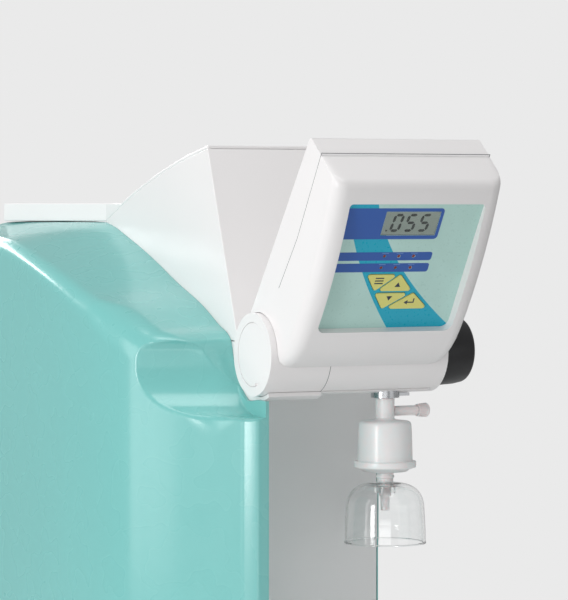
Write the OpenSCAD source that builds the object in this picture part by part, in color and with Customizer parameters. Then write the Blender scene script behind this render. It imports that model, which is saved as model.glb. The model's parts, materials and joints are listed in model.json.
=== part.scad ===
// Ultrapure water system for a laboratory bench. A column between two side
// covers carries a hinge barrel. A display head tilts on the barrel, a dispense
// knob closes its right end, and a point-of-use filter with a filling bell
// hangs from its outlet. The body behind holds the tank, pump and cartridges.
// X runs to the right seen from the front, Y to the rear and Z up. The bench is Z = 0.

/* [Body] */
// Overall width across both side covers
body_w = 305; // [296:1:330]
// Depth from the front of the hinge barrel to the rear panel
body_d = 400; // [390:1:430]
// Height of the hinge axis over the bench
hinge_h = 375; // [368:1:400]
// Sideways offset of the column from the middle of the body
column_x = 7.5; // [4:0.5:10]
// Distance of the column's side faces inside the barrel's ends
column_in = 6; // [4.5:0.5:7]
// Depth of the front panel behind the hinge axis
bay_d = 70; // [66:1:72]
// Height of the side covers' top edge over the hinge axis
cover_top = 97.6; // [94:0.2:102]
// Wall thickness of the moulded covers
cover_wall = 2.6; // [2:0.2:3.2]
// Running gap between covers and what they meet
cover_gap = 0.3; // [0.2:0.1:0.5]
// How far the left cover's nose stands in front of the hinge axis
nose_front = 16; // [12:1:20]
// Width of the left cover's front edge
nose_w = 17; // [14:1:20]
// Thickness of the sheet metal chassis
sheet = 1.5; // [1:0.1:2]
// Thickness of the base plate
base_t = 2; // [1.5:0.5:3]

/* [Top cover and fairing] */
// Height of the rear deck over the side covers' top edge
deck_h = 14.8; // [12:0.2:18]
// Height of the fairing's crest over the hinge axis
crest_z = 154.2; // [148:0.2:158]
// Distance behind the hinge axis where the hump runs out on the deck
hump_end = 279; // [274:1:285]
// Width of the deck at the rear edge
deck_rear_w = 246; // [236:2:250]
// Clear gap between the tilted-back head and the fairing
head_gap = 3; // [2:0.5:4]

/* [Feet] */
// Radius of each rubber foot
foot_r = 11; // [9:0.5:13]
// Height of each rubber foot
foot_h = 12; // [10:0.5:14]
// Distance of the front feet inside the column's sides
foot_in = 17; // [13:1:23]

/* [Hinge barrel] */
// Outer radius of the barrel
barrel_r = 31; // [30:0.5:32]
// Length of the barrel along the hinge axis
barrel_w = 150; // [149:0.5:152]
// Wall thickness of the barrel housings
barrel_wall = 3; // [2.5:0.25:3.5]
// Length of the left knuckle housing
knuckle_w = 50; // [46:1:54]
// Radius of the round end cap
cap_r = 23.7; // [22:0.1:25]
// Radius of the left pivot pin
pin_r = 5; // [4:0.5:6]
// Outer radius of the hollow right trunnion
trunnion_r = 9; // [8.5:0.5:10]
// Radial running clearance of the pivots
run_gap = 0.05; // [0.03:0.01:0.09]
// Thickness of each hinge lug of the head
lug_w = 8; // [6:0.5:9]
// Distance of the middle of each hinge lug inside the barrel's ends
lug_in_end = 17; // [16:0.5:18]

/* [Display head] */
// Distance of the head's sides inside the barrel's ends
head_in = 5; // [4:0.5:6]
// Length of the head from the hinge axis to its rear top corner
head_l = 178.3; // [172:0.1:184]
// Distance of the rear face behind the hinge axis
head_back = 28.2; // [27:0.1:29]
// Distance of the front face's top edge in front of the hinge axis
head_front_top = 24.1; // [22:0.1:27]
// Distance of the front face's fullest point in front of the hinge axis
head_front_max = 42.3; // [41:0.1:44]
// Drop of the front top edge below the rear one
head_top_drop = 3.7; // [2:0.1:6]
// Forward lean of the head at its front stop, degrees
head_lean = 36.4; // [36:0.1:37]
// Swing of the head from its front stop to its rear stop, degrees
head_swing = 56; // [50:1:56]
// Radius of the front face's long edges
rail_r = 11; // [8:0.5:12]
// Wall thickness of the head's two shells
head_wall = 2.6; // [2.2:0.2:3]

/* [Keypad] */
// Width of the recessed keypad sheet
pad_w = 112; // [110:1:114]
// Length of the recessed keypad sheet
pad_l = 106.6; // [104:0.2:108]
// Distance of the sheet's top edge from the hinge axis, along the head
pad_top = 158.9; // [157:0.1:160]
// Depth of the sheet's top edge in front of the hinge axis
pad_front = 26.2; // [25.5:0.1:27]
// Lean of the sheet against the head, degrees
pad_lean = 5.5; // [5:0.1:6]
// Thickness of the keypad sheet
pad_t = 0.8; // [0.6:0.1:1]
// Travel of a key
key_travel = 0.5; // [0.3:0.1:0.6]
// Height of a key over the sheet
key_proud = 0.6; // [0.6:0.1:0.8]
// Gap around each key
key_gap = 0.4; // [0.3:0.1:0.5]
// Width of the display window
lcd_w = 45; // [43:0.5:47]
// Height of the display window
lcd_h = 19.9; // [19:0.1:21]

/* [Dispense knob] */
// Radius of the knob at its barrel end
knob_r = 27; // [25:0.5:28]
// Length of the knob
knob_l = 28; // [24:0.5:30]
// Radius of the valve stem
stem_r = 5; // [4.5:0.1:5.5]

/* [Filter and bell] */
// Distance of the outlet's axis inside the barrel's right end
outlet_in = 37.4; // [36:0.1:39]
// Radius of the steel outlet collar
collar_r = 10.8; // [10:0.1:12]
// Radius of the filter's neck
neck_r = 7.2; // [6.8:0.1:7.6]
// Length of the filter's neck below the collar
neck_l = 17.7; // [16:0.1:19]
// Radius of the filter's capsule
filter_r = 20.85; // [19:0.05:22]
// Height of the filter's capsule
filter_h = 30.3; // [28:0.1:33]
// Radius of the filter's weld flange
flange_r = 23.5; // [23:0.5:25]
// Reach of the side vent from the filter's axis
vent_reach = 37.5; // [34:0.5:40]
// Radius of the filling bell
bell_r = 30.65; // [29:0.05:32]
// Height of the filling bell
bell_h = 45.5; // [42:0.5:48]
// Wall thickness of the filling bell
bell_wall = 1.6; // [1.2:0.1:2]

/* [Water works] */
// Room between the tank and the frame on each side
tank_side = 6; // [4:0.5:10]
// Depth of the tank
tank_d = 150; // [140:1:154]
// Height of the tank
tank_h = 240; // [220:1:250]
// Height of the tank's shelf over the bench
shelf_z = 188; // [180:1:192]
// Wall thickness of the tank
tank_wall = 2.5; // [2:0.5:3]
// Clear room round the cartridges behind the side covers
pack_room = 6; // [4:0.5:8]
// Radius of the reverse osmosis module
ro_r = 25; // [22:0.5:27]
// Length of the three cartridges
pack_l = 335; // [320:1:340]
// Thickness of the cartridge manifolds
manifold_t = 20; // [16:1:24]
// Radius of the lamp housing
uv_r = 20; // [18:0.5:22]
// Length of the lamp housing
uv_l = 286; // [270:1:295]
// Outer radius of the internal tubing
tube_r = 3; // [2.5:0.1:3.2]

/* [Rear connections] */
// Radius of the tube sockets in the rear fittings
socket_r = 4; // [3:0.1:4.5]
// Depth of the tube sockets
socket_l = 18; // [14:0.5:20]
// Length of each fitting outside the rear panel
fitting_out = 15; // [12:0.5:18]
// Height of the water fittings over the bench
fitting_z = 70; // [60:1:80]
// Height of the mains inlet over the bench
inlet_z = 120; // [115:1:130]

/* [Hidden] */
$fn = 96;

// Outline helpers: unit vector, an arc, and a polygon whose corners carry a radius.
function unit(v) = v / norm(v);
function bend(p, q, s, r, n) =
    let (u = unit(p - q), v = unit(s - q), half = acos(u * v) / 2,
        c = q + unit(u + v) * r / sin(half), a = q + u * r / tan(half) - c,
        turn = sign(cross(u, v)) * (180 - 2 * half), start = atan2(a.y, a.x))
    [for (i = [0:n]) c - r * [cos(start + 180 - turn * i / n), sin(start + 180 - turn * i / n)]];
function flat2(p) = [p.x, p.y];
function rounded(pts, n = 6) =
    let (k = len(pts))
    [for (i = [0:k - 1])
        each pts[i][2] == 0 ? [flat2(pts[i])]
            : bend(flat2(pts[(i + k - 1) % k]), flat2(pts[i]), flat2(pts[(i + 1) % k]), pts[i][2], n)];
function bezier(a, b, c, n) = [for (i = [0:n]) let (t = i / n) (1 - t) ^ 2 * a + 2 * t * (1 - t) * b + t ^ 2 * c];

// Places measured from the hinge axis, which runs along X through the column's centre.
rear_y = body_d - barrel_r;
half_w = barrel_w / 2;
column_w = barrel_w - 2 * column_in;
head_w = barrel_w - 2 * head_in;
lug_x = half_w - lug_in_end;
outlet_x = half_w - outlet_in;
col = column_w / 2;
seat_r = barrel_r + 0.4;
cheek = 3;
frame_out = col - cheek;
cover_bottom = foot_h;
base_top = foot_h + base_t;
left_side = -(body_w / 2 + column_x);
right_side = body_w / 2 - column_x;

// The head's outline seen from the left, in the head's own frame: s to its rear, t up along it.
head_front_low = 50;
head_top_front = head_l - head_top_drop;
front_top_r = 8;
function front_s(t) = -head_front_max
    + (head_front_max - head_front_top) * ((t - head_front_low) / (head_top_front - head_front_low)) ^ 2;
chin = [-28.8, 10.4];
front_steps = 7;
function front_line(inward) =
    let (top = head_top_front - front_top_r)
    concat([for (i = [0:front_steps])
            let (t = top + (head_front_low - top) * i / front_steps) [front_s(t) + inward, t]],
        [for (p = bezier([-head_front_max, head_front_low], [-head_front_max, 24], chin, 5)) p + [inward, 0]]);
function head_points(inward) = concat(
    bend([head_back, 0], [head_back, head_l], [-head_front_top, head_top_front], 3, 3),
    bend([head_back, head_l], [inward - head_front_top, head_top_front],
        [inward + front_s(head_top_front - 2 * front_top_r), head_top_front - 2 * front_top_r], front_top_r, 5),
    front_line(inward), [[head_back, 12]]);
function leaned(p) = [p.x * cos(head_lean) - p.y * sin(head_lean), p.x * sin(head_lean) + p.y * cos(head_lean)];

// The origin is the middle of the rest pose's bounding box, on the bench.
head_front_y = min([for (p = head_points(0)) leaned(p).x]);
hinge_y = -(head_front_y + rear_y + fitting_out) / 2;

module at_column() translate([column_x, hinge_y, 0]) children();
module at_hinge() translate([column_x, hinge_y, hinge_h]) children();
module in_head() at_hinge() rotate([head_lean, 0, 0]) children();
module slab_x(x0, x1) translate([x0, 0, 0]) rotate([90, 0, 90]) linear_extrude(x1 - x0) children();
module across(w) slab_x(-w / 2, w / 2) children();
module rod_x(x0, x1, r) translate([x0, 0, 0]) rotate([0, 90, 0]) cylinder(h = x1 - x0, r = r);
module rod_y(y0, y1, r) translate([0, y1, 0]) rotate([90, 0, 0]) cylinder(h = y1 - y0, r = r);
module box(lo, hi) translate(lo) cube(hi - lo);
module tube(h, r, hole) difference() {
    cylinder(h = h, r = r);
    translate([0, 0, -1]) cylinder(h = h + 2, r = hole);
}

// The line where the left and right covers meet the fairing, behind the hinge axis and over it.
seam_line = [[-20, -34], [-4, -33.4], [13, -34.8], [31.5, -23.5], [40.7, -9.5], [47.6, 9.7], [68.9, 20.4],
    [97, 34], [141, 50], [187, 68.4], [232, 84], [hump_end, cover_top], [rear_y + 1, cover_top + 12.4]];
// How far each cover reaches out from the column at each distance behind the hinge axis.
shoulder_w = -left_side - col - cover_gap;
left_reach = concat([[-nose_front, 0.45 * nose_w], [-nose_front + 2, 0.72 * nose_w],
    [-nose_front + 5, 0.9 * nose_w], [-nose_front + 10, 1.08 * nose_w], [0, 23]],
    [for (p = [[48, 0.655], [56, 0.709], [64, 0.762], [75, 0.814], [90, 0.86], [110, 0.9], [142, 0.94],
        [173, 0.965], [230, 0.985], [rear_y, 1]]) [p.x, p.y * shoulder_w]]);
right_w = right_side - col - cover_gap;
right_reach = [[bay_d, 1], [bay_d + 8, 3.6], [202, 66], [212, 0.925 * right_w], [225, 0.975 * right_w],
    [250, 0.99 * right_w], [rear_y, right_w]];
// Fall of the covers' tops towards the outside, and the radius of their outer shoulders.
function fall(y) = 0.0007 * max(y, 0);
shoulder_r = [[60, 24], [100, 26], [130, 14], [rear_y, 10]];
arc_steps = 5;

// One upright section of a cover at y: from its inner foot over the top to its outer foot.
function cover_section(y, reach, inset, foot, inner) =
    let (w = lookup(y, reach) - inset, top = min(lookup(y, seam_line), cover_top - cover_gap) - inset,
        r = min(lookup(y, shoulder_r), 0.8 * (w - max(inner, 0))), drop = fall(y) * (w - r))
    concat([[inner, y, foot], [inner, y, top]],
        [[(inner + w - r) / 2, y, min(top, lookup(y, seam_line) - inset - drop / 2)]],
        [for (i = [0:arc_steps])
            let (a = 90 - 90 * i / arc_steps)
            [w - r + r * cos(a), y, min(top, lookup(y, seam_line) - inset - drop) - r + r * sin(a)]],
        [[w, y, foot]]);
// A closed skin over a row of sections with n points each.
module loft(rows) {
    n = len(rows[0]);
    m = len(rows);
    sides = [for (j = [0:m - 2]) for (i = [0:n - 1])
        each [[j * n + (i + 1) % n, j * n + i, (j + 1) * n + i],
            [j * n + (i + 1) % n, (j + 1) * n + i, (j + 1) * n + (i + 1) % n]]];
    first = [for (i = [1:n - 2]) [0, i, i + 1]];
    last = [for (i = [1:n - 2]) [(m - 1) * n, (m - 1) * n + i + 1, (m - 1) * n + i]];
    polyhedron(points = [for (row = rows) each row], faces = concat(sides, first, last), convexity = 6);
}

// Colours
white = [0.93, 0.94, 0.93];
teal = [0.50, 0.78, 0.76];
grey = [0.72, 0.73, 0.74];
steel = [0.75, 0.76, 0.78];
black = [0.10, 0.10, 0.11];
aqua = [0.72, 0.87, 0.84];
yellow = [0.90, 0.87, 0.50];

// --- Chassis ---
foot_front_x = col - foot_in;
foot_spots = [[-foot_front_x, bay_d + 26], [foot_front_x, bay_d + 26],
    [left_side + 32, rear_y - 30], [right_side - 30, rear_y - 30]];
module feet() color(black) at_column()
    for (p = foot_spots) translate([p.x, p.y, 0]) cylinder(h = foot_h, r = foot_r);

panel_t = 3;
// Both the base plate and the rear panel follow the inside of the covers, this far inside them.
panel_gap = 1;
// The right cover is solid from its front edge to here.
solid_y = bay_d + 14;
function plate_out(y, reach) = col + cover_gap + lookup(y, reach) - cover_wall - panel_gap;
module base_plate() color(steel) at_column() translate([0, 0, foot_h]) linear_extrude(base_t)
    polygon(concat([[-col, bay_d + panel_t], [col, bay_d + panel_t], [col, solid_y + panel_gap]],
        [for (y = [right_reach[2][0], right_reach[3][0], right_reach[4][0], rear_y - panel_t])
            [plate_out(y, right_reach), y]],
        [for (y = [rear_y - panel_t, 230, 142, 110]) [-plate_out(y, left_reach), y]], [[-col, 110]]));

rear_low = cover_bottom - hinge_h + base_t;
function rear_outline(reach, side) = [for (p = cover_section(rear_y, reach, cover_wall + panel_gap, rear_low, 0))
    [side * (col + cover_gap + p.x), p.z]];
module rear_panel() color(grey) at_hinge() difference() {
    left = rear_outline(left_reach, -1);
    right = rear_outline(right_reach, 1);
    translate([0, rear_y, 0]) rotate([90, 0, 0]) linear_extrude(panel_t)
        polygon(concat([for (i = [len(left) - 1:-1:1]) left[i]], [for (i = [1:len(right) - 1]) right[i]]));
    for (x = fitting_xs) translate([x, 0, fitting_z - hinge_h]) rod_y(rear_y - 9, rear_y + 1, thread_r);
    box([inlet_x - 20, rear_y - 9, inlet_z - 13 - hinge_h], [inlet_x + 20, rear_y + 1, inlet_z + 13 - hinge_h]);
}

module front_panel() color(grey) at_column() {
    box([-col, bay_d, foot_h], [col, bay_d + panel_t, hinge_h - seat_r - cheek]);
    for (x = [-col, frame_out])
        box([x, bay_d + panel_t, base_top], [x + cheek, bay_d + 24, hinge_h - seat_r - cheek]);
}

frame_top = cover_top - 10;
module frame_plates() color(steel) at_column() for (x = [-frame_out, frame_out - sheet])
    slab_x(x, x + sheet)
        polygon([[bay_d + panel_t, base_top], [rear_y - panel_t, base_top],
            [rear_y - panel_t, hinge_h + frame_top - 2], [hump_end - 20, hinge_h + frame_top],
            [bay_d + 30, hinge_h + frame_top], [bay_d + panel_t + 12, hinge_h + 30],
            [bay_d + panel_t, hinge_h - 20]]);

// --- Fairing and top cover ---
head_back_lean = head_lean - head_swing;
function swung(s, t) = [s * cos(head_back_lean) - t * sin(head_back_lean),
    s * sin(head_back_lean) + t * cos(head_back_lean)];
nest_s = head_back + head_gap;
nest_low = 23;
nest_top = (crest_z - nest_s * sin(head_back_lean)) / cos(head_back_lean);
crest = swung(nest_s, nest_top);
hump_mid = [190, 136.5];
hump_steps = 12;
hump = bezier([hump_end, cover_top], hump_mid, crest, hump_steps);
strip_t = 2.6;

module fairing() color(white) at_hinge() {
    across(column_w) polygon([swung(nest_s, nest_low), swung(nest_s, nest_top),
        swung(nest_s + cheek, nest_top - 1.5), swung(nest_s + cheek, nest_low)]);
    for (x = [-col, frame_out]) slab_x(x, x + cheek) polygon(concat([for (p = hump) p],
        [swung(nest_s, nest_low), [swung(nest_s, nest_low).x + 3, 8.6], [60, 8.6], [97, 20],
            [hump_end, cover_top - 16]]));
}

deck_front = 236;
function deck_outline(inset) = [[-(col - inset), deck_front + inset], [col - inset, deck_front + inset],
    [col - inset, hump_end + inset], [deck_rear_w / 2 - inset, rear_y - inset],
    [inset - deck_rear_w / 2, rear_y - inset], [inset - col, hump_end + inset]];
module top_cover() color(white) at_hinge() {
    across(column_w) polygon(concat([for (p = hump) p],
        [for (i = [hump_steps:-1:0]) hump[i] + [0, strip_t]]));
    difference() {
        translate([0, 0, cover_top]) linear_extrude(deck_h) polygon(deck_outline(0));
        translate([0, 0, cover_top - 1]) linear_extrude(deck_h - cover_wall + 1)
            polygon(deck_outline(cover_wall));
        across(column_w + 2) polygon(concat([for (p = hump) p], [[crest.x, 0], [hump_end, 0]]));
    }
}

// --- Side covers ---
open_y = bay_d + panel_t;
left_ys = [-nose_front, -nose_front + 2, -nose_front + 5, -nose_front + 10, 0, 13, 24, 32, 41, 48, 56, 64,
    75, 90, 110, 130, 142, 173, 200, 230, hump_end, 320, rear_y];
left_in_ys = [-nose_front + 5, -nose_front + 10, 0, 13, 24, 32, 41, 48, 56, 64, open_y - 0.5, open_y,
    75, 90, 110, 130, 142, 173, 200, 230, hump_end, 320, rear_y + 1];
right_ys = [bay_d, bay_d + 8, 110, 150, 190, 202, 212, 225, 250, hump_end, 320, rear_y];
right_in_ys = [solid_y, 110, 150, 190, 202, 212, 225, 250, hump_end, 320, rear_y + 1];
cover_foot = cover_bottom - hinge_h;
module cover_body(ys, reach)
    loft([for (y = ys) cover_section(y, reach, 0, cover_foot, 0)]);
// The hollow is open below and to the rear, and towards the column behind the front panel.
module cover_hollow(ys, reach)
    loft([for (y = ys) cover_section(y, reach, cover_wall, cover_foot - 1, y < open_y ? cover_wall : -1)]);
// The scoop leaves the barrel's end clear; it is open to the front. Its end wall goes out to the
// left and back, and a large round joins that wall to the scoop's floor.
scoop_low = -46;
scoop_high = 10;
scoop_wall = [[cover_wall, 34], [0.783 * shoulder_w, 67]];
scoop_lean = (scoop_wall[1].y - scoop_wall[0].y) / (scoop_wall[1].x - scoop_wall[0].x);
module scoop(grow) hull() for (x = [cover_wall - grow, shoulder_w]) let (y = scoop_wall[0].y + (x - cover_wall) * scoop_lean)
    slab_x(x, x + 0.1) polygon(rounded([[-60, scoop_low - grow, 0], [y + grow, scoop_low - grow, 36 + grow],
        [y + grow, scoop_high + grow, 8 + grow], [-60, scoop_high + grow, 0]], 8));
module left_cover() color(teal) at_hinge() translate([-col - cover_gap, 0, 0]) mirror([1, 0, 0])
    difference() {
        union() {
            difference() {
                cover_body(left_ys, left_reach);
                cover_hollow(left_in_ys, left_reach);
            }
            intersection() {
                cover_body(left_ys, left_reach);
                scoop(cover_wall);
            }
        }
        scoop(0);
    }
module right_cover() color(teal) at_hinge() translate([col + cover_gap, 0, 0]) difference() {
    cover_body(right_ys, right_reach);
    cover_hollow(right_in_ys, right_reach);
}

// --- Hinge barrel ---
lip_angle = 63;
// Right of the knuckle the cradle has no lip: it slopes down from behind the barrel to here.
lip_end = 58;
seam_x = knuckle_w - half_w;
// The room of the tilted-back head's foot, seen from the left.
module nest_room() polygon([swung(nest_s, 5), swung(nest_s, 40), swung(0, 40), swung(0, 5)]);
module cradle_rib(x) slab_x(x, x + cheek) difference() {
    polygon([[0, -seat_r - cheek], [bay_d + 40, -seat_r - cheek], [bay_d + 40, -12], [bay_d, 8], [0, 8]]);
    circle(r = seat_r);
    nest_room();
}
module hinge_cradle() color(white) at_hinge() difference() {
    union() {
        for (x = [-col, frame_out]) cradle_rib(x);
        across(column_w) difference() {
            polygon([[0, -seat_r - cheek], [bay_d + panel_t, -seat_r - cheek], [bay_d + panel_t, -seat_r], [0, -seat_r]]);
            circle(r = seat_r);
        }
        across(column_w) difference() {
            polygon([[0, 5], [bay_d + panel_t, 5], [bay_d + panel_t, 8], [0, 8]]);
            circle(r = seat_r);
            nest_room();
        }
        for (x = [-40, 8]) intersection() {
            cradle_rib(x);
            across(column_w) polygon([[0, -50], [bay_d, -50], [bay_d, 20], [0, 20]]);
        }
        across(column_w) intersection() {
            difference() {
                circle(r = seat_r + cheek);
                circle(r = seat_r);
            }
            polygon([[0, 0], [-80 * cos(lip_angle), -80 * sin(lip_angle)], [0, -90]]);
        }
    }
    slab_x(seam_x, col + 1) polygon([[-60, -60], [lip_end, -60], [lip_end, -seat_r - cheek],
        [12, -barrel_r + 2.4], [-60, -barrel_r + 2.4]]);
    translate([outlet_x, 0, -60]) cylinder(h = 60, r = collar_r + cover_gap);
}

// The slots of the barrel take the lugs from stop to stop, with a degree to spare.
lug_front = 7;
slot_low = 89 + head_lean - head_swing;
slot_high = 91 + head_lean + asin(lug_front / (barrel_r - barrel_wall));
module lug_slot(x0, x1) slab_x(x0, x1) polygon([[0, 0],
    [60 * cos(slot_low), 60 * sin(slot_low)], [0, 80], [60 * cos(slot_high), 60 * sin(slot_high)]]);
lug_in = lug_x - lug_w / 2 - 0.6;
lug_out = lug_x + lug_w / 2 + 0.6;
cable_slot = 3.4;
wall_x = lug_x - 12;
module knuckle_housing() color(white) at_hinge() {
    difference() {
        rod_x(-half_w, seam_x, barrel_r);
        rod_x(-half_w + barrel_wall, seam_x + 1, barrel_r - barrel_wall);
        rod_x(-half_w - 1, -half_w + barrel_wall + 1, cap_r + 0.2);
        lug_slot(-lug_out, -lug_in + cable_slot);
    }
    difference() {
        union() {
            rod_x(-wall_x - 4, -wall_x, barrel_r - barrel_wall);
            rod_x(-wall_x - 1, -wall_x + 8, 2 * pin_r);
        }
        rod_x(-wall_x - 5, -wall_x + 9, pin_r);
        lug_slot(-lug_out, -lug_in + cable_slot);
    }
}
module pivot_pin() color(steel) at_hinge() rod_x(-half_w + barrel_wall + 0.2, -wall_x + 8, pin_r);
module barrel_end_cap() color(white) at_hinge() difference() {
    rod_x(-half_w + 0.2, -half_w + barrel_wall + 0.2, cap_r);
    translate([-half_w - 1, -9.1, -25.5]) cube([2.6, 5, 4.5]);
}
module valve_housing() color(white) at_hinge() difference() {
    union() {
        difference() {
            rod_x(seam_x, half_w, barrel_r);
            rod_x(seam_x - 1, half_w - barrel_wall, barrel_r - barrel_wall);
            lug_slot(lug_in, lug_out);
            translate([outlet_x, 0, 0]) rod_y(0, barrel_r + 1, 5.5);
        }
        rod_x(wall_x, wall_x + 4, barrel_r - barrel_wall);
    }
    translate([outlet_x, 0, -barrel_r - 1]) cylinder(h = 10, r = collar_r + 0.15);
    rod_x(wall_x - 1, half_w + 1, trunnion_r);
}
module trunnion() color(steel) at_hinge() difference() {
    rod_x(wall_x, half_w, trunnion_r);
    rod_x(wall_x - 1, half_w + 1, stem_r + run_gap);
}
collar_low = 34.8;
collar_top = 27.5;
module dispense_valve() color(grey) at_hinge() difference() {
    union() {
        rod_x(wall_x - 20, wall_x, 18);
        translate([outlet_x, 0, -collar_top]) cylinder(h = collar_top, r = 7);
        translate([outlet_x, 0, 0]) rod_y(0, 27, 5.5);
    }
    rod_x(wall_x - 10, wall_x + 1, stem_r + run_gap);
    translate([outlet_x, 0, -collar_top - 1]) cylinder(h = collar_top + 1, r = 2.5);
    translate([outlet_x, 0, 0]) rod_y(0, 28, 2.5);
}
module outlet_collar() color(steel) at_hinge() translate([outlet_x, 0, -collar_low]) difference() {
    union() {
        cylinder(h = collar_low - collar_top, r = collar_r);
        box([neck_r + 0.6, -6, 1.2], [collar_r + 7, -1, 3.6]);
    }
    translate([0, 0, -1]) cylinder(h = collar_low, r = spigot_r + 0.1);
}
module valve_stem() color(steel) at_hinge() rod_x(wall_x - 9.5, half_w + knob_l - 8, stem_r);
knob_gap = 0.3;
module dispense_knob() color(black) at_hinge() difference() {
    translate([half_w + knob_gap, 0, 0]) rotate([90, 0, 90]) rotate_extrude() polygon(concat(
        [[0, 0], [knob_r - 1, 0], [knob_r, 1]],
        bend([knob_r, 0], [knob_r - 2, knob_l], [0, knob_l], 4, 6), [[0, knob_l]]));
    rod_x(half_w - 1, half_w + knob_l - 8, stem_r);
}

// --- Display head ---
ride_r = barrel_r + 0.4;
// The two shells part along this line, seen from the left.
part_line = [[4.2, 0], [3.9, 27], [1.2, 107], [7.5, head_l + 5]];
module rear_half() polygon(concat(part_line, [[head_back + 20, head_l + 5], [head_back + 20, 0]]));
module rear_profile() intersection() {
    polygon(head_points(0));
    rear_half();
}
web_low = 33;
module hinge_lug(x) slab_x(x - lug_w / 2, x + lug_w / 2) {
    polygon([[-lug_front, 8], [0, 8], [0, web_low], [head_back - head_wall, web_low + 6],
        [head_back - head_wall, web_low + 42], [-lug_front, web_low + 27]]);
    circle(r = 13);
}
boss_spots = [[-57, 150], [57, 150], [-57, 95], [57, 95]];
boss_r = 4;
boss_s = 8;
screw_r = 1.5;
module head_rear_shell() color(white) in_head() difference() {
    union() {
        difference() {
            across(head_w) rear_profile();
            across(head_w - 2 * head_wall) polygon([[-40, 0], [head_back - head_wall, 0],
                [head_back - head_wall, head_l - head_wall], [-40, head_l - head_wall - 3]]);
            rod_x(-head_w, head_w, ride_r);
        }
        for (x = [-lug_x, lug_x]) hinge_lug(x);
        for (p = boss_spots) translate([p.x, 0, p.y]) rod_y(boss_s, head_back - head_wall, boss_r);
    }
    rod_x(-lug_x - lug_w, -lug_x + lug_w, pin_r + run_gap);
    rod_x(lug_x - lug_w, lug_x + lug_w, trunnion_r + run_gap);
    for (p = boss_spots) translate([p.x, 0, p.y]) {
        rod_y(boss_s - 1, head_back + 1, screw_r);
        rod_y(head_back - 2, head_back + 1, 3.2);
    }
}
module head_screws() color(steel) in_head() for (p = boss_spots) translate([p.x, 0, p.y]) {
    rod_y(-4, head_back - 2, screw_r);
    rod_y(head_back - 2, head_back - 0.4, 3);
}

floor_t = 3;
// Where the sheet lies in front of the hinge axis, at a length t along the head.
function pad_s(t) = -pad_front - (pad_top - t) * tan(pad_lean);
module on_pad() in_head() pad_frame() children();
module pad_frame() translate([-pad_w / 2, -pad_front, pad_top]) rotate([90 - pad_lean, 0, 0]) children();
// A place on the sheet: u from its left edge, v down from its top edge, n out of it.
module pad_spot(u, v, n) translate([u, -v, n]) children();
pad_shape = rounded([[0, 0, 3], [pad_w, 0, 3], [pad_w, -pad_l, 6], [0, -pad_l, 6]]);
lcd_u = 33;
lcd_v = 7.4;
key_spots = [
    [[31.5, 60.5], [57.3, 60.5], [41.2, 74.6]],
    [[59.6, 60.5], [72.6, 74.6], [43.4, 74.6]],
    [[42, 76.5], [71.6, 76.5], [51.7, 90]],
    [[74.8, 76.5], [90, 90], [54, 90]]];
lamp_spots = [for (x = [41.6, 53.5, 65.8], y = [45, 54.8]) [x, y]];
lamp_r = 1.3;
function key_outline(i) = [for (p = rounded([for (q = key_spots[i]) [q.x, -q.y, 1.6]], 4)) p];
function key_middle(i) = let (k = key_spots[i]) (k[0] + k[1] + k[2]) / 3;
module key_hole(i) offset(delta = key_gap) polygon(key_outline(i));
module pad_holes(n0, n1) {
    translate([lcd_u, -lcd_v - lcd_h, n0]) cube([lcd_w, lcd_h, n1 - n0]);
    for (i = [0:3]) translate([0, 0, n0]) linear_extrude(n1 - n0) key_hole(i);
    for (p = lamp_spots) pad_spot(p.x, p.y, n0) cylinder(h = n1 - n0, r = lamp_r);
}
module head_outer() hull() for (a = [0:30:90])
    across(head_w - 2 * rail_r * (1 - sin(a)), $fn = 32) polygon(head_points(rail_r * (1 - cos(a))));
floor_back = pad_t + floor_t;
board_n = 10.4;
board_t = 1.6;
board_w = 104;
board_l = 96;
board_spots = [[4 + 6, 8], [pad_w - 10, 8], [10, board_l], [pad_w - 10, board_l]];
module head_bezel() color(white) in_head() difference() {
    union() {
        difference() {
            head_outer();
            rear_half_cut();
            hollow();
        }
        pad_frame() for (p = board_spots) pad_spot(p.x, p.y, -board_n) cylinder(h = board_n - pad_t - 0.5, r = 3);
        for (p = boss_spots) translate([p.x, 0, p.y]) rod_y(pad_s(p.y) + pad_t + 1, boss_s - 0.3, boss_r);
    }
    for (p = boss_spots) translate([p.x, 0, p.y]) rod_y(-4, boss_s + 1, screw_r);
    pad_frame() {
        translate([0, 0, -pad_t]) linear_extrude(60) polygon(pad_shape);
        pad_holes(-20, 1);
    }
    rod_x(-head_w, head_w, ride_r);
}
module rear_half_cut() across(head_w + 2) rear_half();
// The space behind the sheet's floor, down to the barrel and back to the rear shell.
module hollow() {
    top = [-pad_front + floor_back * cos(pad_lean), pad_top - floor_back * sin(pad_lean)];
    slope = [sin(pad_lean), cos(pad_lean)];
    across(head_w - 14) polygon([top + slope * 8, top - slope * 125, [-12, 12], [20, 0], [20, head_l - 8], [-10, head_l - 9]]);
}
module keypad_sheet() color(aqua) on_pad() difference() {
    translate([0, 0, -pad_t]) linear_extrude(pad_t) polygon(pad_shape);
    pad_holes(-pad_t - 1, 1);
}
module lcd_window() color([0.8, 0.9, 0.85, 0.4]) on_pad() {
    translate([lcd_u, -lcd_v - lcd_h, -floor_back]) cube([lcd_w, lcd_h, floor_back - 0.1]);
    translate([lcd_u - 3, -lcd_v - lcd_h - 3, -floor_back - 1.2]) cube([lcd_w + 6, lcd_h + 6, 1.2]);
}
module lcd_module() color([0.55, 0.62, 0.55]) on_pad()
    translate([lcd_u - 5, -lcd_v - lcd_h - 5, -board_n]) cube([lcd_w + 10, lcd_h + 9, board_n - floor_back - 1.5]);
key_back = 6;
stem_gap = key_travel + 0.2;
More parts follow.
